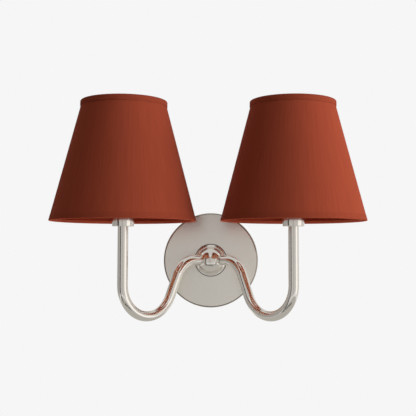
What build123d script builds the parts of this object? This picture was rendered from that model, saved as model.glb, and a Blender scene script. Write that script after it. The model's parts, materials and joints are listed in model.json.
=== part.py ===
from build123d import *
from math import atan2, cos, degrees, hypot, radians, sin, tan
import os

# Double arm wall light. Millimetres. The origin is on the wall, behind the centre of the round
# wall plate. +X is to the right, +Y goes into the wall and +Z is up.

# ---- fits and gaps ---------------------------------------------------------------------------
seat_clearance = 0.05      # round pieces fixed inside one another, on the radius
turning_gap = 0.3          # between pieces that turn on one another
thread_gap = 0.1           # between the ribs of the lamp cap and of its brass shell

# ---- wall plate and strap --------------------------------------------------------------------
plate_radius = 63.5
plate_depth = 22.0
plate_wall = 1.5
plate_edge_round = 2.5
strap_width = 24.0
strap_thickness = 2.0
strap_end_gap = 3.0        # from the strap's ends to the inside of the plate's rim
strap_tab_height = 14.0
wall_slot_spacing = 80.0
wall_slot_length = 16.0
wall_slot_width = 5.0
cable_hole_radius = 9.0
rim_screw_radius = 2.0
rim_screw_height = 9.0     # from the wall
rim_screw_recess = 0.2
hex_socket_radius = 1.1

# ---- hub -------------------------------------------------------------------------------------
hub_radius = 22.0
hub_skirt = 6.0            # straight side below the dome
hub_wall = 3.5
hub_floor = 4.0
hub_thread_radius = 5.0
hub_thread_bore = 3.5
hub_thread_end = 1.0       # past the nut
washer_radius = 9.5
washer_thickness = 0.8
nut_across_flats = 14.0
nut_thickness = 3.0

# ---- arms ------------------------------------------------------------------------------------
lamp_spacing = 209.0
lamp_reach = 130.0         # from the wall to the lamps' axes
arm_radius = 6.5
arm_wall = 1.0
arm_level_run = 12.0       # from an arm's inner end to its upper bend
lower_bend_ratio = 1.264   # of the lower bend's radius to the upper one's
slope_angle = 66.0         # of the run between the bends, from level
lower_bend_height = -30.0  # of the lower bend's centre
arm_top_height = 41.4
stem_thread_radius = 5.0
stem_thread_bore = 3.5
stem_thread_depth = 12.0   # held inside the arm
stem_thread_end = 0.5      # past the boss

# ---- lampholder, heights from the top of its arm ----------------------------------------------
cap_radius = 13.65
cap_height = 20.0
cap_floor = 2.5
cap_wall = 2.6
cap_rim_wall = 1.5
cap_ledge_height = 16.0
cap_boss_radius = 8.0
cap_boss_height = 6.0
core_neck_radius = 9.2
core_neck_height = 3.0     # above the cap
core_channel_radius = 1.1
live_channel_offset = 4.2
neutral_channel_offset = 7.5
sleeve_height = 26.0       # above the cap
sleeve_bore = 9.4
sleeve_thread_radius = 13.6
sleeve_thread_rib = 0.35
sleeve_thread_pitch = 2.5
sleeve_thread_turns = 5
sleeve_flange_radius = 17.0
sleeve_flange_height = 2.5
shell_thickness = 0.5
contact_width = 3.0
contact_thickness = 0.5
contact_rise = 1.5
contact_pin_radius = 0.8

# ---- lamp ------------------------------------------------------------------------------------
lamp_thread_radius = 6.6
lamp_thread_rib = 0.3
lamp_thread_pitch = 2.82
lamp_thread_turns = 5
lamp_cap_wall = 0.5
lamp_foot_radius = 2.4
lamp_foot_height = 2.5
lamp_skirt_radius = 8.4
lamp_skirt_flare = 6.0
lamp_skirt_rim = 3.0
globe_radius = 22.5
globe_wall = 0.8
globe_centre_height = 55.5  # above the lamp's foot
globe_neck_round = 8.0
globe_neck_depth = 5.0

# ---- shade ring ------------------------------------------------------------------------------
ring_wall = 4.0
ring_height = 6.0
ring_notch_count = 18
ring_notch_radius = 1.0

# ---- shade -----------------------------------------------------------------------------------
shade_bottom_radius = 90.0
shade_top_radius = 51.2
shade_height = 148.4
shade_drop = 14.4          # from the carrier's washer down to the shade's bottom ring
cloth_thickness = 0.6
lining_thickness = 0.5
tape_thickness = 0.5
top_band_stand_off = 0.465  # of the upright band from the cloth at its lower edge
top_band_height = 7.4
top_band_round = 2.0
top_band_lap = 7.0
bottom_band_height = 7.0
bottom_band_lap = 5.2
wire_radius = 1.2
wire_groove_gap = 0.1
ring_wire_height = 2.4     # of the ring wires' centres, from the shade's edges
carrier_washer_radius = 19.5
carrier_washer_thickness = 1.2
spoke_count = 3
spoke_start_angle = 90.0

# ---- wiring ----------------------------------------------------------------------------------
lead_radius = 0.9
lead_spread = 1.5          # each lead's distance from an arm's centre line
lead_side = 1.3            # each lead's distance from the hub thread's middle plane
hub_lead_bend = 7.0
block_lead_bend = 5.2
block_entry_bend = 5.4
live_rear_depth = 9.4      # from the wall, where the leads turn up behind the hub
neutral_rear_depth = 5.2
lead_entry_run = 2.5
lead_grip = 6.0
holder_lead_start = 7.0
holder_lead_end = 13.5
holder_lead_bend = 6.0
earth_lead_radius = 1.1
earth_lead_bend = 7.0

# ---- terminal block --------------------------------------------------------------------------
pole_pitch = 9.0
block_width = 27.0
block_length = 15.0
block_depth = 13.0
block_bottom = 15.0
pole_depth = 8.0           # from the wall
pole_radius = 3.0
pole_bore = 2.4
pole_screw_radius = 1.3
pole_screw_head = 1.9
pole_screw_head_height = 1.2
pole_screw_spacing = 8.0
block_screw_radius = 1.2
block_screw_head = 2.4
earth_screw_radius = 1.9
earth_screw_head = 3.6
earth_screw_head_height = 2.2
earth_screw_place = (8.5, -24.0)
eyelet_radius = 4.2
eyelet_thickness = 0.8
eyelet_barrel_length = 4.0
eyelet_barrel_wall = 0.5
slot_depth = 0.6
slot_width = 0.6

# ---- places worked out from the sizes above ---------------------------------------------------
lamp_side = lamp_spacing / 2
hub_centre_depth = plate_depth + hub_skirt
arm_heading = atan2(lamp_reach - hub_centre_depth, lamp_side)
arm_span = hypot(lamp_side, lamp_reach - hub_centre_depth)
slope = radians(slope_angle)
arm_inner_end = hub_radius - hub_wall - 1.0
upper_bend_start = arm_inner_end + arm_level_run
bend_width = arm_span - upper_bend_start + lower_bend_height / tan(slope)
upper_bend_radius = bend_width / (
    (1 + lower_bend_ratio) / sin(slope) - 1 / tan(slope) + lower_bend_ratio
)
lower_bend_radius = upper_bend_radius * lower_bend_ratio
bend_sum = upper_bend_radius + lower_bend_radius
slope_run = (bend_sum * cos(slope) - upper_bend_radius - lower_bend_height) / sin(slope)
nut_face_depth = plate_depth - plate_wall - washer_thickness
hub_thread_rear = nut_face_depth - nut_thickness - hub_thread_end

core_top = cap_height + core_neck_height
lamp_foot = core_top + contact_thickness + contact_rise + turning_gap
lamp_thread_start = lamp_foot + lamp_foot_height
lamp_thread_top = lamp_thread_start + lamp_thread_pitch * lamp_thread_turns
lamp_cap_top = lamp_thread_top + lamp_skirt_flare + lamp_skirt_rim
sleeve_crest = sleeve_thread_radius + sleeve_thread_rib
flange_top = cap_height + sleeve_flange_height
washer_bottom = flange_top + turning_gap
washer_top = washer_bottom + carrier_washer_thickness
ring_bottom = washer_top + turning_gap
shade_ring_bore = sleeve_crest + turning_gap

carrier_height = washer_bottom + carrier_washer_thickness / 2
shade_bottom = carrier_height - shade_drop - ring_wire_height
shade_top = shade_bottom + shade_height


def cone_radius(height, inward=0.0):
    """The shade's radius at a height, less the layers outside a surface."""
    share = (height - shade_bottom) / shade_height
    return shade_bottom_radius + (shade_top_radius - shade_bottom_radius) * share - inward


def turned(points):
    """A solid turned about the Z axis from an outline of (radius, height) points."""
    return revolve(make_face(Plane.XZ * Polyline(*points, close=True)), Axis.Z)


def tube(outer, inner, bottom, top):
    return turned([(inner, bottom), (outer, bottom), (outer, top), (inner, top)])


def rod(radius, bottom, top):
    return Pos(0, 0, bottom) * Cylinder(
        radius, top - bottom, align=(Align.CENTER, Align.CENTER, Align.MIN)
    )


def facing(piece):
    """Turns a piece whose +Z points away from the wall into the room."""
    return Rot(90, 0, 0) * piece


def wave(radius, rib, pitch, turns, bottom):
    """A row of rounded ribs: arcs that swing in and out about a radius."""
    arcs = []
    for half in range(2 * turns):
        start = bottom + half * pitch / 2
        swing = rib if half % 2 == 0 else -rib
        arcs.append(
            ThreePointArc(
                (radius, start), (radius + swing, start + pitch / 4), (radius, start + pitch / 2)
            )
        )
    return arcs


def ribbed(arcs, corners):
    """A solid turned from a row of rib arcs and the corners that close the outline."""
    close = Polyline(arcs[-1] @ 1, *corners, arcs[0] @ 0)
    return revolve(make_face(Plane.XZ * (Curve() + arcs + close)), Axis.Z)


# ---- wall side, built with Z as the distance from the wall -----------------------------------
def make_backplate():
    inner = plate_radius - plate_wall
    dish = rod(plate_radius, 0, plate_depth)
    dish = fillet(dish.edges().group_by(Axis.Z)[-1], plate_edge_round)
    hollow = rod(inner, 0, plate_depth - plate_wall)
    hollow = fillet(hollow.edges().group_by(Axis.Z)[-1], plate_edge_round - plate_wall / 2)
    thread_hole = rod(hub_thread_radius + 2 * seat_clearance, 0, plate_depth)
    screw_hole = Pos(0, 0, rim_screw_height) * Rot(90, 0, 0) * Cylinder(
        rim_screw_radius + 2 * seat_clearance, 2 * plate_radius + 2
    )
    return facing(dish - hollow - thread_hole - screw_hole)


strap_half_length = plate_radius - plate_wall - strap_end_gap


def make_wall_strap():
    low = (Align.CENTER, Align.CENTER, Align.MIN)
    strap = Box(strap_width, 2 * strap_half_length, strap_thickness, align=low)
    slot = extrude(
        Rot(0, 0, 90) * SlotOverall(wall_slot_length, wall_slot_width), strap_thickness
    )
    for end in (-1, 1):
        tab = Pos(0, end * (strap_half_length - strap_thickness / 2), 0) * Box(
            strap_width, strap_thickness, strap_tab_height, align=low
        )
        strap += tab
        strap -= Pos(0, end * wall_slot_spacing / 2, 0) * slot
    strap -= rod(cable_hole_radius, 0, strap_thickness)
    strap -= Pos(0, 0, rim_screw_height) * Rot(90, 0, 0) * Cylinder(
        rim_screw_radius + seat_clearance, 2 * strap_half_length + 2
    )
    strap -= Pos(pole_pitch / 2, block_bottom + block_length / 2, 0) * rod(
        block_screw_radius + seat_clearance, 0, strap_thickness
    )
    strap -= Pos(*earth_screw_place, 0) * rod(
        earth_screw_radius + seat_clearance, 0, strap_thickness
    )
    return facing(strap)


def make_rim_screws():
    outer = plate_radius - rim_screw_recess
    inner = strap_half_length - strap_thickness - 1.0
    screw = rod(rim_screw_radius, inner, outer)
    socket = extrude(Pos(0, 0, outer - 2.0) * RegularPolygon(hex_socket_radius, 6), 2.0)
    screw -= socket
    screws = []
    for turn in (0, 180):
        screws.append(Pos(0, -rim_screw_height, 0) * Rot(0, turn, 0) * screw)
    return Compound(children=screws)


def dome(radius, skirt_bottom):
    """A half ball on a short straight skirt, standing away from the wall."""
    ball = Pos(0, 0, hub_centre_depth) * Sphere(radius)
    below = rod(radius + 1, 0, hub_centre_depth)
    return (ball - below) + rod(radius, skirt_bottom, hub_centre_depth)


def make_hub():
    body = dome(hub_radius, plate_depth)
    body -= dome(hub_radius - hub_wall, plate_depth + hub_floor)
    body -= rod(hub_thread_radius + seat_clearance, plate_depth, plate_depth + hub_floor)
    body = facing(body)
    socket = rod(arm_radius + seat_clearance, arm_inner_end - 1, hub_radius + 1)
    for side in (-1, 1):
        body -= arm_plane(side) * Rot(0, 90, 0) * socket
    return body


def make_hub_thread():
    return facing(
        tube(hub_thread_radius, hub_thread_bore, hub_thread_rear, plate_depth + hub_floor)
    )


def make_hub_washer():
    bore = hub_thread_radius + 2 * seat_clearance
    return facing(tube(washer_radius, bore, nut_face_depth, nut_face_depth + washer_thickness))


def make_hub_nut():
    low = nut_face_depth - nut_thickness
    hexagon = RegularPolygon(nut_across_flats / 2, 6, major_radius=False)
    nut = Pos(0, 0, low) * extrude(hexagon, nut_thickness)
    return facing(nut - rod(hub_thread_radius + seat_clearance, low, nut_face_depth))


# ---- arms ------------------------------------------------------------------------------------
def arm_plane(side):
    """The upright plane an arm is bent in: X runs out from the hub's axis, Y is up."""
    out = (side * cos(arm_heading), -sin(arm_heading), 0)
    normal = (-sin(arm_heading), -side * cos(arm_heading), 0)
    return Plane(origin=(0, -hub_centre_depth, 0), x_dir=out, z_dir=normal)


def bent_route(shift, start, top):
    """An arm's centre line in its own plane, moved by shift to the left of its travel."""
    level = Line((start, shift), (upper_bend_start, shift))
    upper = JernArc(level @ 1, level % 1, upper_bend_radius + shift, -slope_angle)
    down = Line(upper @ 1, upper @ 1 + (upper % 1) * slope_run)
    lower = JernArc(down @ 1, down % 1, lower_bend_radius - shift, 90 + slope_angle)
    stem = Line(lower @ 1, (arm_span - shift, top))
    return [level, upper, down, lower, stem]


def swept(radius, edges):
    """A round bar along joined edges."""
    path = Wire(edges)
    section = Plane(origin=path @ 0, z_dir=path % 0) * Circle(radius)
    return sweep(section, path=path)


def make_arm(side):
    outer = swept(arm_radius, bent_route(0, arm_inner_end, arm_top_height))
    inner = swept(arm_radius - arm_wall, bent_route(0, arm_inner_end, arm_top_height))
    return arm_plane(side) * (outer - inner)


def on_arm(side, piece):
    """Places a piece built upright at the origin on top of an arm."""
    turn = -degrees(arm_heading) if side > 0 else 180 + degrees(arm_heading)
    return Pos(side * lamp_side, -lamp_reach, arm_top_height) * Rot(0, 0, turn) * piece


def make_stem_thread():
    bar = rod(arm_radius - arm_wall - seat_clearance, -stem_thread_depth, 0)
    bar += rod(stem_thread_radius, 0, cap_boss_height + stem_thread_end)
    return bar - rod(stem_thread_bore, -stem_thread_depth, cap_boss_height + stem_thread_end)


# ---- lampholder ------------------------------------------------------------------------------
def make_holder_cap():
    room = cap_radius - cap_wall
    rim = cap_radius - cap_rim_wall
    cap = turned(
        [
            (0, 0),
            (cap_radius, 0),
            (cap_radius, cap_height),
            (rim, cap_height),
            (rim, cap_ledge_height),
            (room, cap_ledge_height),
            (room, cap_floor),
            (cap_boss_radius, cap_floor),
            (cap_boss_radius, cap_boss_height),
            (0, cap_boss_height),
        ]
    )
    cap = fillet(cap.edges().group_by(Axis.Z)[0], 0.5)
    return cap - rod(stem_thread_radius + seat_clearance, 0, cap_boss_height)


def make_holder_core():
    flange = cap_radius - cap_rim_wall - seat_clearance
    core = rod(flange, cap_ledge_height, cap_height)
    core += rod(core_neck_radius, cap_height, core_top)
    for place in (-live_channel_offset, neutral_channel_offset):
        core -= Pos(place, 0, 0) * rod(core_channel_radius, cap_ledge_height, core_top)
    return core


def make_holder_shell():
    ribs = wave(
        lamp_thread_radius + thread_gap,
        lamp_thread_rib,
        lamp_thread_pitch,
        lamp_thread_turns,
        lamp_thread_start,
    )
    outer = lamp_thread_radius + thread_gap + lamp_thread_rib + shell_thickness
    inner = lamp_thread_radius + thread_gap
    shell = ribbed(
        ribs,
        [(outer, ribs[-1].position_at(1).Y), (outer, core_top), (inner, core_top)],
    )
    pin = Pos(neutral_channel_offset, 0, 0) * rod(contact_pin_radius, cap_height, core_top)
    return shell + pin


def make_holder_contact():
    """A springy brass strip with a raised dome under the lamp's foot and a pin to the live lead."""
    low = (Align.CENTER, Align.CENTER, Align.MIN)
    length = live_channel_offset + contact_width
    strip = Pos(-live_channel_offset / 2, 0, core_top) * Box(
        length, contact_width, contact_thickness, align=low
    )
    strip_top = core_top + contact_thickness
    raised = rod(contact_width / 2, strip_top, strip_top + contact_rise)
    pin = Pos(-live_channel_offset, 0, 0) * rod(contact_pin_radius, cap_height, core_top)
    return strip + raised + pin


def make_holder_sleeve():
    top = cap_height + sleeve_height
    ribs = wave(
        sleeve_thread_radius,
        sleeve_thread_rib,
        sleeve_thread_pitch,
        sleeve_thread_turns,
        flange_top,
    )
    plain = sleeve_thread_radius
    return ribbed(
        ribs,
        [
            (plain, top),
            (sleeve_bore, top),
            (sleeve_bore, cap_height),
            (sleeve_flange_radius, cap_height),
            (sleeve_flange_radius, flange_top),
        ],
    )


# ---- lamp ------------------------------------------------------------------------------------
def make_lamp_foot():
    return turned(
        [
            (0, lamp_foot),
            (lamp_foot_radius, lamp_foot),
            (lamp_thread_radius - lamp_cap_wall, lamp_thread_start),
            (0, lamp_thread_start),
        ]
    )


def make_lamp_cap():
    ribs = wave(
        lamp_thread_radius,
        lamp_thread_rib,
        lamp_thread_pitch,
        lamp_thread_turns,
        lamp_thread_start,
    )
    inner = lamp_thread_radius - lamp_thread_rib - lamp_cap_wall
    rim_inner = lamp_skirt_radius - lamp_cap_wall
    flare_top = lamp_thread_top + lamp_skirt_flare
    return ribbed(
        ribs,
        [
            (lamp_skirt_radius, flare_top),
            (lamp_skirt_radius, lamp_cap_top),
            (rim_inner, lamp_cap_top),
            (rim_inner, flare_top),
            (inner, lamp_thread_top),
            (inner, lamp_thread_start),
        ],
    )


def make_lamp_globe():
    neck = lamp_skirt_radius - lamp_cap_wall - seat_clearance
    centre = lamp_foot + globe_centre_height
    bottom = lamp_cap_top - globe_neck_depth / 2

    def bottle(ball_radius, neck_radius):
        shape = Pos(0, 0, centre) * Sphere(ball_radius)
        shape += rod(neck_radius, bottom, centre)
        joint = centre - (ball_radius**2 - neck_radius**2) ** 0.5
        ring = shape.edges().filter_by_position(Axis.Z, joint - 0.1, joint + 0.1)
        return fillet(ring, globe_neck_round)

    return bottle(globe_radius, neck) - bottle(globe_radius - globe_wall, neck - globe_wall)


# ---- shade and its ring ----------------------------------------------------------------------
def make_shade_ring():
    outer = shade_ring_bore + ring_wall
    ring = tube(outer, shade_ring_bore, ring_bottom, ring_bottom + ring_height)
    notch = Pos(outer, 0, 0) * rod(ring_notch_radius, ring_bottom, ring_bottom + ring_height)
    for number in range(ring_notch_count):
        ring -= Rot(0, 0, 360 * number / ring_notch_count) * notch
    return ring


inside = cloth_thickness + lining_thickness
bottom_wire_height = shade_bottom + ring_wire_height
top_wire_height = shade_top - ring_wire_height
wire_room = wire_radius + wire_groove_gap
bottom_wire_ring = cone_radius(bottom_wire_height, tape_thickness + inside + wire_room)
top_wire_ring = cone_radius(top_wire_height, tape_thickness + inside + wire_room)


def ring_wire(ring_radius, height):
    return Pos(0, 0, height) * Torus(ring_radius, wire_radius)


def spoke(radius):
    """A straight rod from the carrier's washer out and down to the bottom ring."""
    start = carrier_washer_radius - wire_radius
    run = bottom_wire_ring - start
    drop = carrier_height - bottom_wire_height
    length = hypot(run, drop)
    tilt = 90 + degrees(atan2(drop, run))
    return Pos(start, 0, carrier_height) * Rot(0, tilt, 0) * rod(radius, 0, length)


def around(piece):
    """Copies of a piece, one for each spoke."""
    return [
        Rot(0, 0, spoke_start_angle + 360 * number / spoke_count) * piece
        for number in range(spoke_count)
    ]


def make_shade_washer():
    return tube(carrier_washer_radius, shade_ring_bore, washer_bottom, washer_top)


def make_shade_spokes():
    """Spokes notched over the washer's edge and over the bottom ring's wire."""
    washer = make_shade_washer()
    wire = ring_wire(bottom_wire_ring, bottom_wire_height)
    return Compound(children=[piece - washer - wire for piece in around(spoke(wire_radius))])


def layer(outside, thickness):
    """One layer of the shade's wall, between its two edge tapes."""
    low = shade_bottom + tape_thickness
    high = shade_top - tape_thickness
    outer = tape_thickness + outside
    return turned(
        [
            (cone_radius(low, outer), low),
            (cone_radius(high, outer), high),
            (cone_radius(high, outer + thickness), high),
            (cone_radius(low, outer + thickness), low),
        ]
    )


def make_bottom_tape():
    """Tape folded round the bottom edge, with a groove inside for the ring wire."""
    wall = tape_thickness + inside
    lap = shade_bottom + bottom_band_lap
    edge = shade_bottom + bottom_band_height
    low = shade_bottom + tape_thickness
    depth = wall + 2 * wire_room + tape_thickness
    tape = turned(
        [
            (cone_radius(shade_bottom, 0), shade_bottom),
            (cone_radius(edge, 0), edge),
            (cone_radius(edge, tape_thickness), edge),
            (cone_radius(low, tape_thickness), low),
            (cone_radius(low, wall), low),
            (cone_radius(lap, wall), lap),
            (cone_radius(lap, depth), lap),
            (cone_radius(shade_bottom, depth), shade_bottom),
        ]
    )
    groove_low = bottom_wire_height - wire_room
    groove_high = bottom_wire_height + wire_room
    tape -= turned(
        [
            (cone_radius(groove_low, wall - 0.2), groove_low),
            (cone_radius(groove_high, wall - 0.2), groove_high),
            (cone_radius(groove_high, depth - tape_thickness), groove_high),
            (cone_radius(groove_low, depth - tape_thickness), groove_low),
        ]
    )
    for slot in around(spoke(wire_room)):
        tape -= slot
    return tape


def make_top_tape():
    """Tape folded round the top edge: upright outside, with a groove inside for the ring wire."""
    wall = tape_thickness + inside
    edge = shade_top - top_band_height
    high = shade_top - tape_thickness
    lap = shade_top - top_band_lap
    depth = wall + 2 * wire_room + tape_thickness
    out = cone_radius(edge, -top_band_stand_off)
    tape = turned(
        [
            (out, edge),
            (out, shade_top),
            (cone_radius(shade_top, depth), shade_top),
            (cone_radius(lap, depth), lap),
            (cone_radius(lap, wall), lap),
            (cone_radius(high, wall), high),
            (cone_radius(high, tape_thickness), high),
            (cone_radius(edge, tape_thickness), edge),
        ]
    )
    rim = tape.edges().filter_by(GeomType.CIRCLE).sort_by(Axis.Z)[-2:]
    outer_rim = rim.sort_by(SortBy.RADIUS)[-1]
    tape = fillet(outer_rim, top_band_round)
    groove_low = top_wire_height - wire_room
    groove_high = top_wire_height + wire_room
    return tape - turned(
        [
            (cone_radius(groove_low, wall - 0.2), groove_low),
            (cone_radius(groove_high, wall - 0.2), groove_high),
            (cone_radius(groove_high, depth - tape_thickness), groove_high),
            (cone_radius(groove_low, depth - tape_thickness), groove_low),
        ]
    )


# ---- wiring ----------------------------------------------------------------------------------
def make_lead(side, shift, pole, rear_depth, channel):
    """One insulated lead, from the terminal block through the hub and an arm to a lampholder."""
    entry = (pole * pole_pitch + side * lead_side, -pole_depth)
    hub_turn = hub_centre_depth + lead_side * tan(arm_heading)
    along = upper_bend_start
    join = (side * along * cos(arm_heading), -hub_centre_depth - along * sin(arm_heading), shift)
    rear = FilletPolyline(
        (*entry, block_bottom + lead_grip),
        (*entry, block_bottom - lead_entry_run),
        (side * lead_side, -rear_depth, shift),
        (side * lead_side, -hub_turn, shift),
        join,
        radius=[block_entry_bend, block_lead_bend, hub_lead_bend],
    )
    top = arm_top_height + holder_lead_start
    bent = bent_route(shift, upper_bend_start - 1, top)[1:-1]
    foot = bent[-1] @ 1
    head = FilletPolyline(
        foot,
        (arm_span - shift, top),
        (arm_span + channel, arm_top_height + holder_lead_end),
        (arm_span + channel, arm_top_height + cap_height),
        radius=holder_lead_bend,
    )
    in_arm = [arm_plane(side) * edge for edge in [*bent, *head.edges()]]
    return swept(lead_radius, [*rear.edges(), *in_arm])


# ---- terminal block --------------------------------------------------------------------------
block_middle = block_bottom + block_length / 2
poles = (-1, 0, 1)
block_front = strap_thickness + block_depth


def upright(piece):
    """Turns a piece whose axis is Z to lie up the wall, in the wall frame."""
    return Rot(-90, 0, 0) * piece


def make_terminal_block():
    low = (Align.CENTER, Align.CENTER, Align.MIN)
    block = Pos(0, block_middle, strap_thickness) * Box(
        block_width, block_length, block_depth, align=low
    )
    for pole in poles:
        bore = upright(rod(pole_radius + seat_clearance, 0, block_length))
        block -= Pos(pole * pole_pitch, block_bottom, pole_depth) * bore
        for end in (-1, 1):
            place = Pos(pole * pole_pitch, block_middle + end * pole_screw_spacing / 2, 0)
            block -= place * rod(pole_screw_head + seat_clearance, pole_depth, block_front)
    screw_place = Pos(pole_pitch / 2, block_middle, 0)
    block -= screw_place * rod(block_screw_radius + seat_clearance, strap_thickness, block_front)
    return facing(block)


def make_terminal_tubes():
    tubes = []
    for pole in poles:
        body = upright(tube(pole_radius, pole_bore, 0.5, block_length - 0.5))
        body = Pos(pole * pole_pitch, block_bottom, pole_depth) * body
        for end in (-1, 1):
            place = Pos(pole * pole_pitch, block_middle + end * pole_screw_spacing / 2, 0)
            body -= place * rod(pole_screw_radius + seat_clearance, pole_depth, block_front)
        tubes.append(facing(body))
    return Compound(children=tubes)


def slotted_screw(shank, head, head_height, tip, under_head):
    """A pan head screw with a driver slot, its head away from the wall."""
    top = under_head + head_height
    screw = rod(shank, tip, under_head) + rod(head, under_head, top)
    low = (Align.CENTER, Align.CENTER, Align.MAX)
    return screw - Pos(0, 0, top) * Box(2 * head, slot_width, slot_depth, align=low)


def make_terminal_screws():
    tip = pole_depth + earth_lead_radius + seat_clearance
    under_head = pole_depth + pole_radius + 1.0
    screw = slotted_screw(
        pole_screw_radius, pole_screw_head, pole_screw_head_height, tip, under_head
    )
    screws = []
    for pole in poles:
        for end in (-1, 1):
            place = Pos(pole * pole_pitch, block_middle + end * pole_screw_spacing / 2, 0)
            screws.append(facing(place * screw))
    return Compound(children=screws)


def make_block_screw():
    screw = slotted_screw(block_screw_radius, block_screw_head, 1.5, 0.1, block_front)
    return facing(Pos(pole_pitch / 2, block_middle, 0) * screw)


def make_earth_screw():
    seat = strap_thickness + eyelet_thickness
    screw = slotted_screw(
        earth_screw_radius, earth_screw_head, earth_screw_head_height, 0.1, seat
    )
    return facing(Pos(*earth_screw_place, 0) * screw)


barrel_bore = earth_lead_radius + seat_clearance
barrel_radius = barrel_bore + eyelet_barrel_wall
barrel_depth = strap_thickness + barrel_radius
barrel_bottom = earth_screw_place[1] + eyelet_radius - 0.5


def make_earth_eyelet():
    bore = earth_screw_radius + seat_clearance
    ring = tube(eyelet_radius, bore, strap_thickness, strap_thickness + eyelet_thickness)
    ring = Pos(*earth_screw_place, 0) * ring
    barrel = upright(rod(barrel_radius, 0, eyelet_barrel_length))
    hole = upright(rod(barrel_bore, 0.5, eyelet_barrel_length))
    place = Pos(earth_screw_place[0], barrel_bottom, barrel_depth)
    return facing(ring + place * (barrel - hole) - Pos(*earth_screw_place, 0) * rod(
        earth_screw_head + turning_gap, strap_thickness + eyelet_thickness, block_front
    ))


def make_earth_lead():
    x = earth_screw_place[0]
    path = FilletPolyline(
        (pole_pitch, -pole_depth, block_bottom + lead_grip),
        (pole_pitch, -pole_depth, block_bottom - lead_entry_run),
        (x, -barrel_depth, barrel_bottom + eyelet_barrel_length + lead_entry_run),
        (x, -barrel_depth, barrel_bottom + 0.6),
        radius=earth_lead_bend,
    )
    return swept(earth_lead_radius, path.edges())


# ---- the whole light -------------------------------------------------------------------------
def make_pieces():
    pieces = {
        "backplate": make_backplate(),
        "wall_strap": make_wall_strap(),
        "rim_screws": make_rim_screws(),
        "hub": make_hub(),
        "hub_thread": make_hub_thread(),
        "hub_washer": make_hub_washer(),
        "hub_nut": make_hub_nut(),
        "terminal_block": make_terminal_block(),
        "terminal_tubes": make_terminal_tubes(),
        "terminal_screws": make_terminal_screws(),
        "block_screw": make_block_screw(),
        "earth_screw": make_earth_screw(),
        "earth_eyelet": make_earth_eyelet(),
        "earth_lead": make_earth_lead(),
    }
    head_pieces = {
        "stem_thread": make_stem_thread(),
        "holder_cap": make_holder_cap(),
        "holder_core": make_holder_core(),
        "holder_shell": make_holder_shell(),
        "holder_contact": make_holder_contact(),
        "holder_sleeve": make_holder_sleeve(),
        "shade_ring": make_shade_ring(),
        "lamp_foot": make_lamp_foot(),
        "lamp_cap": make_lamp_cap(),
        "lamp_globe": make_lamp_globe(),
    }
    shade_pieces = {
        "shade_washer": make_shade_washer(),
        "shade_spokes": make_shade_spokes(),
        "shade_bottom_wire": ring_wire(bottom_wire_ring, bottom_wire_height),
        "shade_top_wire": ring_wire(top_wire_ring, top_wire_height),
        "shade_lining": layer(cloth_thickness, lining_thickness),
        "shade_cloth": layer(0, cloth_thickness),
        "shade_top_tape": make_top_tape(),
        "shade_bottom_tape": make_bottom_tape(),
    }
    for name, side in (("left", -1), ("right", 1)):
        pieces[f"{name}_arm"] = make_arm(side)
        pieces[f"{name}_live_lead"] = make_lead(
            side, lead_spread, -1, live_rear_depth, -live_channel_offset
        )
        pieces[f"{name}_neutral_lead"] = make_lead(
            side, -lead_spread, 0, neutral_rear_depth, neutral_channel_offset
        )
        for piece, shape in head_pieces.items():
            pieces[f"{name}_{piece}"] = on_arm(side, shape)
        upright_place = Pos(side * lamp_side, -lamp_reach, arm_top_height)
        for piece, shape in shade_pieces.items():
            pieces[f"{name}_{piece}"] = upright_place * shape
    return pieces


def main():
    os.makedirs("parts", exist_ok=True)
    pieces = make_pieces()
    for name, shape in pieces.items():
        export_step(shape, f"parts/{name}.step")
    print("pieces", len(pieces))
    print("arm heading", round(degrees(arm_heading), 2), "span", round(arm_span, 2))
    print("slope run", round(slope_run, 2), "upper bend starts", round(upper_bend_start, 2))
    print("shade bottom above arm", round(shade_bottom, 2))
    print("lead bends", hub_lead_bend, block_lead_bend, block_entry_bend, holder_lead_bend)
    for name in ("left_arm", "right_arm", "left_live_lead", "right_neutral_lead"):
        print(name, "volume", round(pieces[name].volume, 1))


main()
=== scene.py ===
# %% [markdown]
# # A double arm wall light
# A round plate on the wall carries a polished dome. Two bent tubes leave the dome, dip down and
# rise again, and each holds a lamp under a tapered fabric shade. The measured model comes first
# and stays fixed. Everything that is made here sits around it, in the same frame and in metres.

# %% Load the measured model
import bmesh
import bpy
import json
from math import atan2, cos, hypot, pi, radians, sin, tan, tau
from mathutils import Matrix, Vector


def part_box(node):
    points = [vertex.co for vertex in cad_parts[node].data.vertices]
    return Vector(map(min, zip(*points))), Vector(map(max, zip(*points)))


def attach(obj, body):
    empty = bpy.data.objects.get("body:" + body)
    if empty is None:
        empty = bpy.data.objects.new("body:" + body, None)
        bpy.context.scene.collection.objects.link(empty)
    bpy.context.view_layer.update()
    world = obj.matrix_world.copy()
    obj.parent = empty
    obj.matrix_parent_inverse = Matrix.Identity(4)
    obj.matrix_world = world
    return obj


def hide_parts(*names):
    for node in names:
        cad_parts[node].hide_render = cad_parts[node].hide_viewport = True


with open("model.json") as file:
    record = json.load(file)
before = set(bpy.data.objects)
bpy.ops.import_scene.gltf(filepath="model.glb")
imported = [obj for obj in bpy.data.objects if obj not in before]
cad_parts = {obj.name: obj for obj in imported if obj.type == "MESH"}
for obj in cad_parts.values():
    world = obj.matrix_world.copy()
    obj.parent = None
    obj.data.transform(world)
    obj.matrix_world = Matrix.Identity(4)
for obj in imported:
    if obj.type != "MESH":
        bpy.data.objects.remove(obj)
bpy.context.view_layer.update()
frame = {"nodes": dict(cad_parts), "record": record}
cad = frame["nodes"]
SIDES = {"left": -1, "right": 1}
MM = 0.001
print("measured pieces", len(cad))

# %% [markdown]
# ## A helper for finishes
# A finish starts from one Principled shader. What is the same all over the surface is set on the
# shader itself. What changes over the surface, such as a weave, is added with nodes afterwards.

# %% Start a finish
RAMP_ENDS = (0.3, 0.7)


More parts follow.
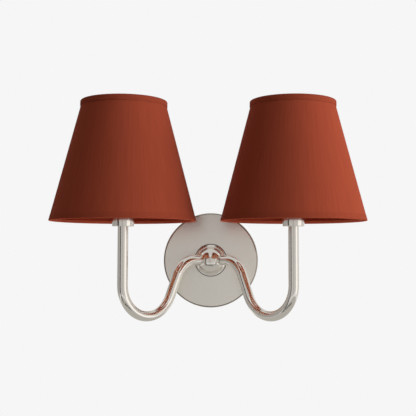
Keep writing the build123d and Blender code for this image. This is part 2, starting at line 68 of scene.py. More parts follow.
def fill_in(node, settings):
    """Sets each named socket of a node, or else the node's own setting of that name."""
    for key, value in settings.items():
        socket = key.replace("_", " ")
        if socket in node.inputs:
            node.inputs[socket].default_value = value
        else:
            setattr(node, key, value)


class Finish:
    """A material with its Principled shader, and short ways to add nodes to it."""

    def __init__(self, name, colour, roughness, **settings):
        self.material = bpy.data.materials.new(name)
        self.material.use_nodes = True
        self.tree = self.material.node_tree
        self.shader = self.tree.nodes["Principled BSDF"]
        self.colour = colour
        self.roughness = roughness
        fill_in(self.shader, {"Base_Color": (*colour, 1), "Roughness": roughness, **settings})

    def node(self, kind, **settings):
        made = self.tree.nodes.new("ShaderNode" + kind)
        fill_in(made, settings)
        return made

    def join(self, output, socket):
        self.tree.links.new(output, socket)

    def place(self, stretch=(1, 1, 1), on_cloth=False):
        """Where on the surface a point is: in object space, or along and up the cloth."""
        source = self.node("TexCoord").outputs["UV" if on_cloth else "Object"]
        mapping = self.node("Mapping", Scale=stretch)
        self.join(source, mapping.inputs["Vector"])
        return mapping.outputs["Vector"]

    def noise(self, scale, stretch=(1, 1, 1), on_cloth=False):
        made = self.node("TexNoise", Scale=scale, Detail=3)
        self.join(self.place(stretch, on_cloth), made.inputs["Vector"])
        return made.outputs["Fac"]

    def vary_colour(self, height, dark, light):
        """Takes the colour from a little darker to a little lighter."""
        ramp = self.node("ValToRGB")
        for end, place, share in zip(ramp.color_ramp.elements, RAMP_ENDS, (dark, light)):
            end.position = place
            end.color = (*(min(1, value * share) for value in self.colour), 1)
        self.join(height, ramp.inputs["Fac"])
        self.join(ramp.outputs["Color"], self.shader.inputs["Base Color"])

    def vary_roughness(self, height, spread):
        low, high = max(0, self.roughness - spread), min(1, self.roughness + spread)
        ends = self.node("MapRange", To_Min=low, To_Max=high)
        self.join(height, ends.inputs["Value"])
        self.join(ends.outputs["Result"], self.shader.inputs["Roughness"])

    def add_bump(self, height, distance, strength):
        bump = self.node("Bump", Strength=strength, Distance=distance)
        self.join(height, bump.inputs["Height"])
        self.join(bump.outputs["Normal"], self.shader.inputs["Normal"])


print("finish helper ready")

# %% [markdown]
# ## Polished and satin metal
# The dome, the arms and the cups under the shades are polished nickel plate, so they show little
# of their own colour and mostly mirror the room. The wall plate is the same metal with a satin
# face, which blurs the room into one warm grey, and a narrow turned rim that is sharper. The rim
# also gets a darker colour, which is painted shade: a dark line standing in for the shade at the
# plate's edge. Two finishes would need the plate cut in two, but it is one measured piece. So one
# finish covers both, and the distance from the plate's middle tells them apart.

# %% Polished and satin metal
PLATE_FACE = 0.0612
PLATE_RIM = 0.0618
FACE_ROUGHNESS = 0.24
RIM_ROUGHNESS = 0.12
# Painted shade: a darker colour for the rim, standing in for the shade at the plate's edge.
RIM_PAINTED_SHADE = (0.33, 0.29, 0.25)

polished = Finish("polished_nickel", (0.83, 0.795, 0.745), roughness=0.14, Metallic=1)
polished.vary_roughness(polished.noise(60), spread=0.02)

satin = Finish("satin_nickel", (0.94, 0.905, 0.845), roughness=FACE_ROUGHNESS, Metallic=0.85)
across_plate = satin.node("VectorMath", operation="LENGTH")
satin.join(satin.place((1, 0, 1)), across_plate.inputs[0])
rim = satin.node("MapRange", From_Min=PLATE_FACE, From_Max=PLATE_RIM)
satin.join(across_plate.outputs["Value"], rim.inputs["Value"])
rim_polish = satin.node("MapRange", To_Min=FACE_ROUGHNESS, To_Max=RIM_ROUGHNESS)
satin.join(rim.outputs["Result"], rim_polish.inputs["Value"])
satin.join(rim_polish.outputs["Result"], satin.shader.inputs["Roughness"])
# Painted shade: this ramp darkens the colour towards the rim, as a dark line at the plate's edge.
rim_painted_shade = satin.node("ValToRGB")
for end, colour in zip(rim_painted_shade.color_ramp.elements, (satin.colour, RIM_PAINTED_SHADE)):
    end.color = (*colour, 1)
satin.join(rim.outputs["Result"], rim_painted_shade.inputs["Fac"])
satin.join(rim_painted_shade.outputs["Color"], satin.shader.inputs["Base Color"])
satin.add_bump(satin.noise(4000), distance=0.01 * MM, strength=0.1)
print("polished and satin metal ready")

# %% [markdown]
# ## The other metals
# The thin outer edge of the dome's foot gets a dark nickel, which is painted shade: it stands in
# for the contact shade where the foot meets the plate. Behind the plate the strap, the threaded
# tubes, the nut and most screws are zinc plated. The terminals' tubes and the lampholder's shell
# and contact are brass, and the lamp's screw cap is nickelled brass. Noise in the roughness gives
# each one the fine unevenness of real plate.

# %% The other metals
# Painted shade: a dark nickel for the foot's outer edge, standing in for its contact shade on the
# plate.
painted_foot_shade = Finish("nickel_with_painted_foot_shade", (0.16, 0.135, 0.115), roughness=0.35, Metallic=1)
painted_foot_shade.vary_roughness(painted_foot_shade.noise(600), spread=0.05)

zinc = Finish("zinc_plated_steel", (0.58, 0.60, 0.61), roughness=0.35, Metallic=1)
zinc.vary_colour(zinc.noise(180), dark=0.85, light=1.1)
zinc.vary_roughness(zinc.noise(400), spread=0.08)

brass = Finish("brass", (0.75, 0.55, 0.24), roughness=0.28, Metallic=1)
brass.vary_colour(brass.noise(200), dark=0.85, light=1.1)
brass.vary_roughness(brass.noise(700), spread=0.06)

cap_metal = Finish("lamp_cap_metal", (0.72, 0.70, 0.64), roughness=0.22, Metallic=1)
cap_metal.vary_roughness(cap_metal.noise(500), spread=0.06)
print("metals ready")

# %% [markdown]
# ## Plastics, enamel and glass
# The lampholder, its ring and the terminal block are moulded, and the holder's core is glazed.
# The shade's wires are dipped in white enamel, which dries in slight waves. The lamp is an opal
# globe on a foot of black glass.

# %% Moulded, enamelled and glass finishes
sleeve_plastic = Finish("white_moulding", (0.84, 0.82, 0.78), roughness=0.42)
sleeve_plastic.add_bump(sleeve_plastic.noise(2500), distance=0.02 * MM, strength=0.3)
sleeve_plastic.vary_roughness(sleeve_plastic.noise(300), spread=0.05)

core_plastic = Finish("glazed_core", (0.86, 0.85, 0.81), roughness=0.2)
core_plastic.vary_roughness(core_plastic.noise(300), spread=0.04)

block_plastic = Finish("terminal_block_moulding", (0.82, 0.82, 0.80), roughness=0.5)
block_plastic.add_bump(block_plastic.noise(1500), distance=0.03 * MM, strength=0.3)

enamel = Finish("white_enamel", (0.70, 0.69, 0.66), roughness=0.3)
enamel.add_bump(enamel.noise(350), distance=0.08 * MM, strength=0.3)

foot_glass = Finish("black_foot_glass", (0.015, 0.015, 0.018), roughness=0.12)
foot_glass.vary_roughness(foot_glass.noise(500), spread=0.04)

opal = Finish(
    "opal_glass", (0.90, 0.89, 0.86), roughness=0.16, Subsurface_Weight=0.25,
    Subsurface_Radius=(4 * MM, 4 * MM, 4 * MM), Coat_Weight=0.4,
)
opal.vary_roughness(opal.noise(120), spread=0.02)
print("mouldings and glass ready")

# %% [markdown]
# ## The leads
# The leads inside the light have brown, blue and green skins of plastic. Such a skin is drawn
# over the wire, so it is a little wavy. One helper makes all three, in one colour each.


# %% The skins of the leads
def insulation(name, colour):
    """The slightly wavy plastic skin of a lead."""
    made = Finish(name, colour, roughness=0.38)
    made.vary_colour(made.noise(400), dark=0.9, light=1.05)
    made.add_bump(made.noise(900), distance=0.03 * MM, strength=0.3)
    return made


brown_skin = insulation("brown_insulation", (0.14, 0.055, 0.025))
blue_skin = insulation("blue_insulation", (0.03, 0.13, 0.42))
green_skin = insulation("green_insulation", (0.10, 0.36, 0.05))
print("leads ready")

# %% [markdown]
# ## Cloth
# The shades are covered in a close rust-red cloth with fine upright threads, some of them darker.
# The pattern follows the cloth's own map, which runs round and up the shade in metres, so the
# threads stay upright on the cone. Two sets of waves give the weave its height. The edge tapes
# are cut from the same cloth. The lining is made as a smooth copper-coloured sheet, because its
# reflection in the arms shows no weave.

# %% Woven cloth and its lining
WAVES_ROUND = 3.1
WAVES_UP = 2.7
SHEEN_LIFT = 2.2


def woven(name, colour, thread):
    """Cloth with a warp and a weft, and uneven upright threads."""
    sheen_tint = (*(min(1, value * SHEEN_LIFT) for value in colour), 1)
    made = Finish(
        name, colour, roughness=0.8, Specular_IOR_Level=0.02,
        Sheen_Weight=0.05, Sheen_Roughness=0.5, Sheen_Tint=sheen_tint,
    )
    weave = made.node("Math", operation="MAXIMUM")
    waves = (("X", WAVES_ROUND), ("Y", WAVES_UP))
    for socket, (direction, share) in zip(weave.inputs, waves):
        wave = made.node(
            "TexWave", wave_type="BANDS", bands_direction=direction, Scale=share / (thread * tau)
        )
        made.join(made.place(on_cloth=True), wave.inputs["Vector"])
        made.join(wave.outputs["Fac"], socket)
    slub = made.noise(700, stretch=(1, 0.03, 1), on_cloth=True)
    made.vary_colour(slub, dark=0.92, light=1.07)
    height = made.node("Math", operation="ADD")
    made.join(weave.outputs["Value"], height.inputs[0])
    made.join(slub, height.inputs[1])
    made.add_bump(height.outputs["Value"], distance=0.06 * MM, strength=0.5)
    return made


cover_cloth = woven("rust_cloth", (0.36, 0.068, 0.034), thread=0.35 * MM)
tape_cloth = woven("rust_tape", (0.33, 0.062, 0.031), thread=0.28 * MM)

lining_sheet = Finish("copper_lining", (0.78, 0.33, 0.16), roughness=0.6, Specular_IOR_Level=0.2)
lining_sheet.vary_colour(lining_sheet.noise(40), dark=0.99, light=1.01)
lining_sheet.vary_roughness(lining_sheet.noise(300), spread=0.05)
print("cloth ready")

# %% [markdown]
# ## A lathe
# Most of this light is turned about an axis: cloth, lining, tapes, dome and cups. An outline of
# radius and height is laid out as a few vertices and spun once round, and arcs in it are worked
# out from their centre. The spin's last ring meets its first, so the doubles are merged and the
# faces are turned outwards afterwards. A new piece is smooth except at its sharp edges, rides on
# a body of the measured model, and hides the measured piece that it stands for.

# %% Spin an outline, and make a piece of it
SHARP = radians(40)
SAME_POINT = 1e-6


def arc(centre, radius, first, last, steps):
    """Points on an arc of an outline, between two angles in degrees."""
    turns = (radians(first + (last - first) * step / steps) for step in range(steps + 1))
    return [(centre[0] + radius * cos(turn), centre[1] + radius * sin(turn)) for turn in turns]


def spun(outline, steps):
    """A closed outline of (radius, height) points, spun once about the upright axis."""
    mesh = bmesh.new()
    corners = [mesh.verts.new((radius, 0, height)) for radius, height in outline]
    sides = [mesh.edges.new(pair) for pair in zip(corners, corners[1:] + corners[:1])]
    bmesh.ops.spin(
        mesh, geom=corners + sides, cent=(0, 0, 0), axis=(0, 0, 1), angle=tau, steps=steps,
        use_merge=True,
    )
    bmesh.ops.remove_doubles(mesh, verts=mesh.verts, dist=SAME_POINT)
    bmesh.ops.recalc_face_normals(mesh, faces=mesh.faces)
    return mesh


def placed(name, mesh):
    """Turns a bmesh into an object at the origin, with its place in its mesh."""
    data = bpy.data.meshes.new(name)
    mesh.to_mesh(data)
    mesh.free()
    made = bpy.data.objects.new(name, data)
    bpy.context.scene.collection.objects.link(made)
    return made


def new_piece(name, mesh, finish, body, node):
    """A piece that rides on a body and stands for a measured node."""
    for edge in mesh.edges:
        edge.smooth = len(edge.link_faces) != 2 or edge.calc_face_angle(0) < SHARP
    piece = placed(name, mesh)
    for face in piece.data.polygons:
        face.use_smooth = True
    piece.data.materials.append(finish.material)
    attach(piece, body)
    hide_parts(node)
    return piece


print("lathe ready")

# %% [markdown]
# ## The sizes of the shades
# Each shade is a stiff lining with cloth glued over it, and a tape folded over each edge. The
# measured solids give every radius and height, and the cone's slope is that of the measured
# cloth: its radius falls by 38.8 mm over a height of 148.4 mm. The cloth's map is laid on face by
# face, because the threads have to run round and up the shade. The flat undersides of the tapes
# are mapped by their radius.

# %% Measure a shade
CONE_SLOPE = 38.8 / 148.4
MAP_RADIUS = 0.07
FLAT_FACE = 0.7


def map_round(mesh):
    """Gives the cloth its own map: metres round the shade, and metres up it."""
    layer = mesh.loops.layers.uv.new("cloth")
    for face in mesh.faces:
        middle = face.calc_center_median()
        heading = atan2(middle.y, middle.x)
        lies_flat = abs(face.normal.z) > FLAT_FACE
        for loop in face.loops:
            place = loop.vert.co
            turn = atan2(place.y, place.x) - heading
            turn = (turn + pi) % tau - pi
            rise = place.z - place.xy.length if lies_flat else place.z
            loop[layer].uv = ((heading + turn) * MAP_RADIUS, rise)


class Shade:
    """A shade's sizes, read from its measured solids."""

    def __init__(self, side):
        low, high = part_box(f"{side}_shade_cloth")
        band_low, band_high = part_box(f"{side}_shade_top_tape")
        hem_low, hem_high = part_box(f"{side}_shade_bottom_tape")
        self.side = side
        self.centre = Vector(((low.x + high.x) / 2, (low.y + high.y) / 2, 0))
        self.bottom, self.top = hem_low.z, band_high.z
        self.hem_top, self.band_bottom = hem_high.z, band_low.z
        self.bottom_radius = (hem_high.x - hem_low.x) / 2
        self.band_radius = (band_high.x - band_low.x) / 2

    def radius(self, height, inward=0.0):
        return self.bottom_radius - CONE_SLOPE * (height - self.bottom) - inward

    def point(self, height, inward):
        """A point of an outline, at a height and some way in from the cone."""
        return (self.radius(height, inward), height)

    def make(self, name, mesh, finish, stands_for, slot):
        """Maps a spun mesh, moves it to the lamp's axis and makes a piece of it."""
        map_round(mesh)
        bmesh.ops.translate(mesh, vec=self.centre, verts=mesh.verts)
        node = f"{self.side}_shade_{stands_for}"
        return new_piece(f"{self.side}_{name}", mesh, finish, f"{self.side}_shade", node)


shades = [Shade(side) for side in SIDES]
for shade in shades:
    top_radius = shade.radius(shade.top)
    print(shade.side, "shade", round(shade.bottom_radius, 4), round(top_radius, 4))

# %% [markdown]
# ## Cloth and lining
# Both are thin cone-shaped layers, so each is a closed outline of two parallel slopes, spun round
# the lamp's axis. The cover begins just under the tapes' surface and ends where the lining begins.
# Many rows keep the map even along the slope.

# %% Cut the cloth and the lining
TAPE = 0.5 * MM
CLOTH = 0.6 * MM
LINING = 0.5 * MM
WALL = TAPE + CLOTH + LINING
COVER_DEPTH = TAPE - 0.35 * MM
COVER_START = 2 * MM
LINING_START = 1.2 * MM
UNDER_TOP = 1.2 * MM
ROUND_STEPS = 180
ROWS = 24


def sleeve(shade, outside, inside, start):
    """A cone-shaped layer between two depths, with enough rows for a smooth map."""
    low, high = shade.bottom + start, shade.top - UNDER_TOP
    heights = [low + (high - low) * row / ROWS for row in range(ROWS + 1)]
    outer = [shade.point(height, outside) for height in heights]
    inner = [shade.point(height, inside) for height in reversed(heights)]
    return spun(outer + inner, ROUND_STEPS)


def make_cover(shade):
    mesh = sleeve(shade, COVER_DEPTH, TAPE + CLOTH, COVER_START)
    return shade.make("cover", mesh, cover_cloth, "cloth", "shade_cloth")


def make_lining(shade):
    mesh = sleeve(shade, TAPE + CLOTH, TAPE + CLOTH + LINING, LINING_START)
    return shade.make("lining", mesh, lining_sheet, "lining", "shade_lining")


print("wall of a shade", round(WALL / MM, 2), "mm")

# %% [markdown]
# ## The top tape
# It stands upright and its top is rolled over the wire, so its lower edge stands a little off the
# cloth and throws a thin line of shadow. Inside, it reaches past the wire and ends on the lining.
# Two quarter arcs round its top, and the other points are given from the edges of the shade.

# %% Fold the top tape
WIRE_ROOM = 2.6 * MM
INNER_LAP = WALL + WIRE_ROOM + TAPE
ROLL = 2.0 * MM
INNER_ROLL = 1.6 * MM
ROLL_STEPS = 6
TOP_LAP = 7.0 * MM
TUCK = 0.8 * MM


def make_top_tape(shade):
    """Upright outside, rolled over the wire, and tucked against the lining inside."""
    out, top, foot = shade.band_radius, shade.top, shade.band_bottom
    inner = shade.radius(top, INNER_LAP)
    under, lap = top - UNDER_TOP, top - TOP_LAP
    outline = [(out - 0.12 * MM, foot), (out, foot + 0.5 * MM)]
    outline += arc((out - ROLL, top - ROLL), ROLL, 0, 90, ROLL_STEPS)
    outline += arc((inner + INNER_ROLL, top - INNER_ROLL), INNER_ROLL, 90, 180, ROLL_STEPS)
    outline += [
        shade.point(lap + 1.5 * MM, INNER_LAP),
        shade.point(lap, WALL + TUCK),
        shade.point(lap, WALL),
        shade.point(under, WALL),
        shade.point(under, TAPE),
        shade.point(foot + 0.6 * MM, TAPE - 0.4 * MM),
        shade.point(foot, -0.05 * MM),
    ]
    mesh = spun(outline, ROUND_STEPS)
    return shade.make("top_tape", mesh, tape_cloth, "top_tape", "shade_tape")


print("top tape laps", round(TOP_LAP / MM, 2), "mm down the lining")

# %% [markdown]
# ## The bottom tape
# It lies flush with the cloth and shows as a faint band. It is folded flat under the wire, with
# soft corners, and its inner lap ends on the lining. The fold is a list of points, each with its
# height above the hem and its depth in from the cone.

# %% Fold the bottom tape
HEM_LAP = 7.6 * MM
HEM_FOLD = (
    (1.2 * MM, 0),
    (0.5 * MM, 0.1 * MM),
    (0.1 * MM, 0.5 * MM),
    (0, 1.1 * MM),
    (0, INNER_LAP - 1.4 * MM),
    (0.4 * MM, INNER_LAP - 0.4 * MM),
    (1.3 * MM, INNER_LAP),
    (3.6 * MM, INNER_LAP),
    (5.2 * MM, WALL + TUCK),
    (HEM_LAP, WALL + 0.4 * MM),
    (HEM_LAP, WALL),
    (1.0 * MM, WALL),
    (1.0 * MM, TAPE),
)


def make_bottom_tape(shade):
    """Flush outside, folded under the wire, and tucked against the lining inside."""
    low, edge = shade.bottom, shade.hem_top
    outline = [shade.point(edge, 0.05 * MM), shade.point(edge - 0.4 * MM, 0)]
    outline += [shade.point(low + rise, depth) for rise, depth in HEM_FOLD]
    outline.append(shade.point(edge, TAPE))
    mesh = spun(outline, ROUND_STEPS)
    return shade.make("bottom_tape", mesh, tape_cloth, "bottom_tape", "shade_tape")


print("bottom tape laps", round(HEM_LAP / MM, 2), "mm up the lining")

# %% [markdown]
# ## Dress both shades
# Laid flat, the cloth and the lining are each one cut of a ring's sector. The cut fits in a
# rectangle of 508 by 214 mm and has an area of 0.0665 square metres. Both are stretched: the
# lining over the two ring wires, and the cloth over the lining.

for shade in shades:
    side = shade.side
    cover, lining = make_cover(shade), make_lining(shade)
    tapes = [make_top_tape(shade), make_bottom_tape(shade)]
    print(side, [piece.name for piece in (cover, lining, *tapes)])

# %% [markdown]
# ## The arms
# A polished tube shows every small facet as a kink in its reflections, so each arm is made again
# here, smoothly, the way a tube bender makes it: a straight start, a bend down, a straight slope,
# a long bend up and a straight stem. The lower bend is a little wider than the upper one. Both
# radii follow from the distance between the dome and the lamp.

# %% The sizes of an arm
ARM_RADIUS = 6.5 * MM
ARM_BORE = 5.5 * MM
HUB_DEPTH = 28 * MM
LAMP_SIDE = 104.5 * MM
LAMP_REACH = 130 * MM
ARM_START = 17.5 * MM
UPPER_BEND_START = 29.5 * MM
STEM_TOP = 41.4 * MM
LOWER_BEND_HEIGHT = -30 * MM
LOWER_BEND_RATIO = 1.264
SLOPE = radians(66)

arm_heading = atan2(LAMP_REACH - HUB_DEPTH, LAMP_SIDE)
span = hypot(LAMP_SIDE, LAMP_REACH - HUB_DEPTH)
bend_width = span - UPPER_BEND_START + LOWER_BEND_HEIGHT / tan(SLOPE)
upper_bend = bend_width / (
    (1 + LOWER_BEND_RATIO) / sin(SLOPE) - 1 / tan(SLOPE) + LOWER_BEND_RATIO
)
lower_bend = upper_bend * LOWER_BEND_RATIO
slope_run = (
    (upper_bend + lower_bend) * cos(SLOPE) - upper_bend - LOWER_BEND_HEIGHT
) / sin(SLOPE)
print("bends", round(upper_bend / MM, 2), round(lower_bend / MM, 2), "mm")

# %% [markdown]
# ## Carry a ring along
# A tube grows from a ring of edges. Where it runs straight the ring is extruded, and where it
# bends the ring is spun about the bend's centre. Each helper gives back the ring that it ends on.


# %% Run straight and run bent
def only_edges(parts):
    return [part for part in parts if isinstance(part, bmesh.types.BMEdge)]


def run_straight(mesh, edges, step):
    grown = bmesh.ops.extrude_edge_only(mesh, edges=edges)["geom"]
    corners = {part for part in grown if isinstance(part, bmesh.types.BMVert)}
    bmesh.ops.translate(mesh, vec=step, verts=list(corners))
    return [edge for edge in only_edges(grown) if set(edge.verts) <= corners]


def run_bent(mesh, edges, centre, axis, angle, steps):
    parts = list({corner for edge in edges for corner in edge.verts}) + list(edges)
    turned = bmesh.ops.spin(mesh, geom=parts, cent=centre, axis=axis, angle=angle, steps=steps)
    return only_edges(turned["geom_last"])


print("tube helpers ready")

# %% [markdown]
# ## Bend the tubes
# Two rings, one for the outside of the tube and one for its bore, are carried along together. At
# both ends they are bridged into the edge of the wall. The bends get many fine steps, because
# polish shows every coarse one.

# %% Bend the arms
TUBE_SEGMENTS = 72
UPPER_BEND_STEPS = 64
LOWER_BEND_STEPS = 150


def make_arm(side, sign):
    up = Vector((0, 0, 1))
    out = Vector((sign * cos(arm_heading), -sin(arm_heading), 0))
    down = out * cos(SLOPE) - up * sin(SLOPE)
    inward = out * sin(SLOPE) + up * cos(SLOPE)
    hub = Vector((0, -HUB_DEPTH, 0))
    turn_outwards = out.to_track_quat("Z", "Y").to_matrix().to_4x4()
    start = Matrix.Translation(hub + out * ARM_START) @ turn_outwards
    mesh = bmesh.new()
    for radius in (ARM_RADIUS, ARM_BORE):
        bmesh.ops.create_circle(mesh, radius=radius, segments=TUBE_SEGMENTS, matrix=start)
    first = mesh.edges[:]
    edges = run_straight(mesh, first, out * (UPPER_BEND_START - ARM_START))
    centre = hub + out * UPPER_BEND_START - up * upper_bend
    edges = run_bent(mesh, edges, centre, up.cross(out), SLOPE, UPPER_BEND_STEPS)
    edges = run_straight(mesh, edges, down * slope_run)
    centre += inward * upper_bend + down * slope_run + inward * lower_bend
    edges = run_bent(mesh, edges, centre, out.cross(up), pi / 2 + SLOPE, LOWER_BEND_STEPS)
    last = run_straight(mesh, edges, up * (STEM_TOP - centre.z))
    for ends in (first, last):
        bmesh.ops.bridge_loops(mesh, edges=ends)
    bmesh.ops.recalc_face_normals(mesh, faces=mesh.faces)
    return new_piece(
        f"{side}_arm_tube", mesh, polished, "wall_light", f"{side}_arm"
    )


for side, sign in SIDES.items():
    arm = make_arm(side, sign)
    print(arm.name, "has", len(arm.data.polygons), "faces")

# %% [markdown]
# ## The dome
# The arms leave a hollow dome with a thick wall. Its base spreads in a small inward curve to a
# thin foot on the plate, and that curve is what draws the ring of dark and light lines round it.
# The outline is spun about the upright axis and then laid down to point out of the wall. The
# foot's outer edge gets the dark nickel, which is painted shade standing in for the contact shade
# against the plate.

# %% Spin the dome
DOME_RADIUS = 17.4 * MM
DOME_FRONT = 50 * MM
DOME_WALL = 2.5 * MM
FOOT_RADIUS = 22 * MM
FOOT_LIP = 20.9 * MM
FOOT_HEIGHT = 0.9 * MM
FOOT_EDGE = 0.4 * MM
PLATE_DEPTH = 22 * MM


def dome_outline():
    """Radius and distance from the wall: foot, inward curve, dome, and back inside."""
    cove = FOOT_LIP - DOME_RADIUS
    lip = PLATE_DEPTH + FOOT_HEIGHT
    shoulder = DOME_FRONT - DOME_RADIUS
    outline = [(FOOT_RADIUS, PLATE_DEPTH), (FOOT_RADIUS, PLATE_DEPTH + FOOT_EDGE)]
    outline += arc((FOOT_LIP, lip + cove), cove, -90, -180, steps=14)
    outline += arc((0, shoulder), DOME_RADIUS, 0, 90, steps=36)
    outline += arc((0, shoulder), DOME_RADIUS - DOME_WALL, 90, 0, steps=16)
    outline.append((DOME_RADIUS - DOME_WALL, PLATE_DEPTH))
    return [(max(0, radius), height) for radius, height in outline]


mesh = spun(dome_outline(), steps=128)
bmesh.ops.rotate(mesh, cent=(0, 0, 0), matrix=Matrix.Rotation(pi / 2, 3, "X"), verts=mesh.verts)
dome = new_piece("dome", mesh, polished, "wall_light", "hub")
# Painted shade: the faces beyond the foot's lip get the dark nickel, for the contact shade on the
# plate.
dome.data.materials.append(painted_foot_shade.material)
for face in dome.data.polygons:
    face.material_index = int(face.center.xz.length > FOOT_LIP)
print("dome has", len(dome.data.polygons), "faces")

# %% [markdown]
# ## The cups
# The cup under each shade holds the lampholder. It is spun like the shade, from one closed
# outline that goes up the outside, over the rim and back down the inside to the hole for the
# threaded tube. It opens a little towards its rim, and its lower edge is rounded. Inside, the
# wall is thinner above a step near the rim, and a low boss carries the thread.

# %% Spin the cups
CUP_RADIUS = 13.65 * MM
CUP_HEIGHT = 20 * MM
CUP_TAPER = 0.035
CUP_TAPER_TOP = 9 * MM
CUP_ROUND = 0.9 * MM
CUP_BEVEL = 0.3 * MM
CUP_HOLE = 5.15 * MM
CUP_FLOOR = 2.5 * MM
BOSS_RADIUS = 8 * MM
BOSS_TOP = 6 * MM
RIM_WALL = 1.5 * MM
RIM_DEPTH = 4 * MM
CUP_WALL = 2.6 * MM


def cup_outline():
    """Radius and height from the cup's underside, counted from the hole outwards."""
    foot = CUP_RADIUS - CUP_TAPER * CUP_TAPER_TOP
    outline = [(CUP_HOLE, 0)]
    outline += arc((foot - CUP_ROUND, CUP_ROUND), CUP_ROUND, -90, 0, steps=6)
    outline += [
        (CUP_RADIUS, CUP_TAPER_TOP),
        (CUP_RADIUS, CUP_HEIGHT - CUP_BEVEL),
        (CUP_RADIUS - CUP_BEVEL, CUP_HEIGHT),
        (CUP_RADIUS - RIM_WALL, CUP_HEIGHT),
        (CUP_RADIUS - RIM_WALL, CUP_HEIGHT - RIM_DEPTH),
        (CUP_RADIUS - CUP_WALL, CUP_HEIGHT - RIM_DEPTH),
        (CUP_RADIUS - CUP_WALL, CUP_FLOOR),
        (BOSS_RADIUS, CUP_FLOOR),
        (BOSS_RADIUS, BOSS_TOP),
        (CUP_HOLE, BOSS_TOP),
    ]
    return outline


def make_cup(side, sign):
    mesh = spun(cup_outline(), steps=96)
    bmesh.ops.translate(mesh, vec=(sign * LAMP_SIDE, -LAMP_REACH, STEM_TOP), verts=mesh.verts)
    return new_piece(
        f"{side}_cup", mesh, polished, "wall_light", f"{side}_holder_cap"
    )


for side, sign in SIDES.items():
    cup = make_cup(side, sign)
    print(cup.name, "has", len(cup.data.polygons), "faces")

# %% [markdown]
# ## Finishes on the measured pieces
# All other pieces keep their measured shape, which is right already. Each gets the finish of its
# material slot, and a slot name says what the piece is made of.

# %% Give each measured piece its finish
SLOT_FINISH = {
    "polished_metal": polished,
    "satin_metal": satin,
    "zinc_steel": zinc,
    "brass": brass,
    "nickel_brass": cap_metal,
    "white_core": core_plastic,
    "white_plastic": sleeve_plastic,
    "block_plastic": block_plastic,
    "black_glass": foot_glass,
    "lamp_glass": opal,
    "white_wire": enamel,
    "shade_lining": lining_sheet,
    "shade_cloth": cover_cloth,
    "shade_tape": tape_cloth,
    "brown_lead": brown_skin,
    "blue_lead": blue_skin,
    "green_lead": green_skin,
}
parts = frame["record"]["subparts"]
for part in parts:
    materials = cad[part["node"]].data.materials
    materials.clear()
    materials.append(SLOT_FINISH[part["material_slot"]].material)
print("finished", len(parts), "measured pieces")

# %% [markdown]
# ## Background
# The light hangs against plain white. The background is one pale grey to the camera and in
# reflections, and dimmer as a source of light, so that it doesn't wash out the soft shade on the
# cloth. The kind of ray that meets it tells the two apart.

# %% The world
PALE = 0.921
FILL = (0.25, 0.222, 0.205, 1)


def seen_path(tree):
    """1 for rays from the camera, off a polish or through glass, and 0 for light."""
    path = tree.nodes.new("ShaderNodeLightPath")
    seen = path.outputs["Is Camera Ray"]
    for kind in ("Is Glossy Ray", "Is Transmission Ray"):
        either = tree.nodes.new("ShaderNodeMath")
        either.operation = "MAXIMUM"
        tree.links.new(seen, either.inputs[0])
        tree.links.new(path.outputs[kind], either.inputs[1])
        seen = either.outputs[0]
    return seen


def pale_background():
    world = bpy.data.worlds.new("pale_room")
    bpy.context.scene.world = world
    world.use_nodes = True
    tree = world.node_tree
    tree.nodes.clear()
    seen = tree.nodes.new("ShaderNodeBackground")
    fill_in(seen, {"Color": (PALE, PALE, PALE, 1)})
    fill = tree.nodes.new("ShaderNodeBackground")
    fill_in(fill, {"Color": FILL})
    mix = tree.nodes.new("ShaderNodeMixShader")
    output = tree.nodes.new("ShaderNodeOutputWorld")
    tree.links.new(seen_path(tree), mix.inputs[0])
    tree.links.new(fill.outputs[0], mix.inputs[1])
    tree.links.new(seen.outputs[0], mix.inputs[2])
    tree.links.new(mix.outputs[0], output.inputs[0])


pale_background()
print("background ready")

# %% [markdown]
# ## Floor
# A pale floor lies well below the light. It is dark paint with a glow that only the camera,
# polish and glass see, so it looks as pale as the background and throws almost no light back up.

# %% The floor
FLOOR_GLOW = 0.86
FLOOR_DROP = 0.9
FLOOR_HALF = 2


def pale_floor():
    mesh = bmesh.new()
    bmesh.ops.create_grid(mesh, x_segments=1, y_segments=1, size=FLOOR_HALF)
    bmesh.ops.translate(mesh, vec=(0, 0, -FLOOR_DROP), verts=mesh.verts)
    floor = placed("floor", mesh)
    paint = Finish("floor_paint", (0.07, 0.07, 0.07), roughness=0.9, Specular_IOR_Level=0.1)
    paint.vary_colour(paint.noise(3), dark=0.98, light=1.02)
    glow = paint.node("Emission", Color=(FLOOR_GLOW, FLOOR_GLOW, FLOOR_GLOW, 1))
    seen = paint.node("MixShader")
    paint.join(seen_path(paint.tree), seen.inputs[0])
    paint.join(glow.outputs[0], seen.inputs[2])
    both = paint.node("AddShader")
    paint.join(paint.shader.outputs[0], both.inputs[0])
    paint.join(seen.outputs[0], both.inputs[1])
    paint.join(both.outputs[0], paint.tree.nodes["Material Output"].inputs["Surface"])
    floor.data.materials.append(paint.material)


pale_floor()
print("floor ready")

# %% [markdown]
# ## Light
# One large soft panel stands to the right and a little in front. It lights the right side of each
# shade and leaves the left side in soft shade, and the right shade partly hides it from the left
# one. A weak panel at the left and a broad one behind lift the edges that it misses, and a low
# one lights the undersides. Polish doesn't mirror the panels: it has boards of its own.


# %% Soft panels
def panel(name, place, target, size, power):
    data = bpy.data.lights.new(name, "AREA")
    data.shape = "RECTANGLE"
    data.size, data.size_y = size
    data.energy = power
    lamp = bpy.data.objects.new(name, data)
    bpy.context.scene.collection.objects.link(lamp)
    lamp.location = place
    lamp.visible_camera = False
    lamp.visible_glossy = False
    lamp.rotation_euler = (Vector(target) - Vector(place)).to_track_quat("-Z", "Y").to_euler()


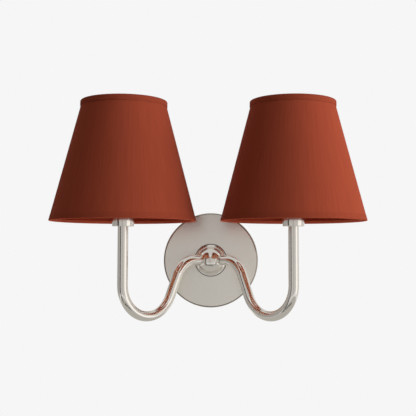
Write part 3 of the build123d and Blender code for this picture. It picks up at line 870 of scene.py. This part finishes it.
MIDDLE = (0, -0.1, 0.06)
panel("key_panel", (1.6, -0.78, 0.31), MIDDLE, size=(1.75, 1.3), power=32.5)
panel("fill_panel", (-2.2, 0.5, 0.4), MIDDLE, size=(0.8, 1.6), power=2.5)
panel("back_panel", (-0.7, 2.1, 0.6), MIDDLE, size=(1.8, 1.4), power=14)
panel("low_panel", (0, -0.13, -0.85), (0, -0.13, 0), size=(0.9, 0.5), power=7)
print("lights ready")

# %% [markdown]
# ## What the polish sees
# Polished metal looks like what stands around it. A photographer puts boards round a shiny
# object: mostly grey ones, a narrow black one for a crisp dark line, and a white one where the
# main light stands. Most boards here are parts of one upright drum around the light. Two dark
# ones stand nearer: the black one, and a small low one that draws the short dark line on the
# dome. A round grey board lies above and another below. All are seen only in reflections. Angles
# are from straight in front, and grow to the right.

# %% Boards for the reflections
WARMTH = (1, 0.98, 0.95)
DRUM_LOW = -1.7
DRUM_HIGH = 1.9
DRUM_RADIUS = 3
FACET = 4


def hang_board(name, mesh, level):
    """Turns a mesh into a board that only reflections see."""
    made = placed(name, mesh)
    made.visible_camera = False
    made.visible_diffuse = False
    made.visible_shadow = False
    made.visible_transmission = False
    finish = Finish(name, (0, 0, 0), roughness=1)
    glow = finish.node("Emission", Color=(*level, 1))
    finish.join(glow.outputs[0], finish.tree.nodes["Material Output"].inputs["Surface"])
    made.data.materials.append(finish.material)


def board(name, left, right, low, high, level, distance):
    """A bent board between two angles and two heights."""
    mesh = bmesh.new()
    heading = radians(left - 90)
    foot = Vector((distance * cos(heading), distance * sin(heading), low))
    ends = [mesh.verts.new(foot), mesh.verts.new((foot.x, foot.y, high))]
    edge = mesh.edges.new(ends)
    bmesh.ops.spin(
        mesh, geom=ends + [edge], cent=(0, 0, 0), axis=(0, 0, 1), angle=radians(right - left),
        steps=max(2, round((right - left) / FACET)),
    )
    hang_board(name, mesh, level)


def flat_board(name, height, radius, level):
    """A round board above or below, which darkens what the polish sees there."""
    mesh = bmesh.new()
    bmesh.ops.create_circle(mesh, cap_ends=True, radius=radius, segments=48)
    bmesh.ops.translate(mesh, vec=(0, 0, height), verts=mesh.verts)
    hang_board(name, mesh, level)


print("board helpers ready")

# %% Hang the boards
BOARDS = (
    ("left_board", -150, -60, 0.40),
    ("front_left_board", -60, -12, 0.58),
    ("camera_gap", -12, 4, 0.47),
    ("front_right_board", 4, 44, 0.60),
    ("white_board", 44, 86, 1.15),
    ("right_board", 88, 104, 0.55),
    ("right_back_board", 104, 150, 0.78),
)
for name, left, right, grey in BOARDS:
    level = [grey * share for share in WARMTH]
    board(name, left, right, DRUM_LOW, DRUM_HIGH, level, DRUM_RADIUS)
board("black_board", -50, -36, -0.6, 0.6, (0.015, 0.015, 0.015), distance=0.65)
board("low_front_board", -30, 30, -0.67, -0.53, (0.02, 0.02, 0.02), distance=0.62)
flat_board("high_board", 1.9, 2.2, (0.66, 0.65, 0.63))
flat_board("low_board", -0.8, 1.5, (0.50, 0.49, 0.46))
print("boards hung", len(BOARDS) + 4)

# %% [markdown]
# ## Camera
# The camera's place, lean and framing were fitted to the outlines of the shades, the stems, the
# dome and the plate. It stands just below the middle, a little right, and looks slightly up.

# %% Set the camera
CAMERA_PLACE = (0.03426, -1.17994, 0.00335)
LOOK_UP = 0.0694
LOOK_LEFT = 0.0037

camera_data = bpy.data.cameras.new("camera")
camera = bpy.data.objects.new("camera", camera_data)
bpy.context.scene.collection.objects.link(camera)
bpy.context.scene.camera = camera
camera.location = CAMERA_PLACE
camera.rotation_euler = (pi / 2 + LOOK_UP, 0, LOOK_LEFT)
camera_data.sensor_width = 36
camera_data.lens = 74.15
camera_data.shift_x = -0.0601
camera_data.shift_y = -0.0237
camera_data.dof.use_dof = False
bpy.context.scene.view_settings.view_transform = "Standard"
print("camera at", tuple(round(value, 3) for value in camera.location))
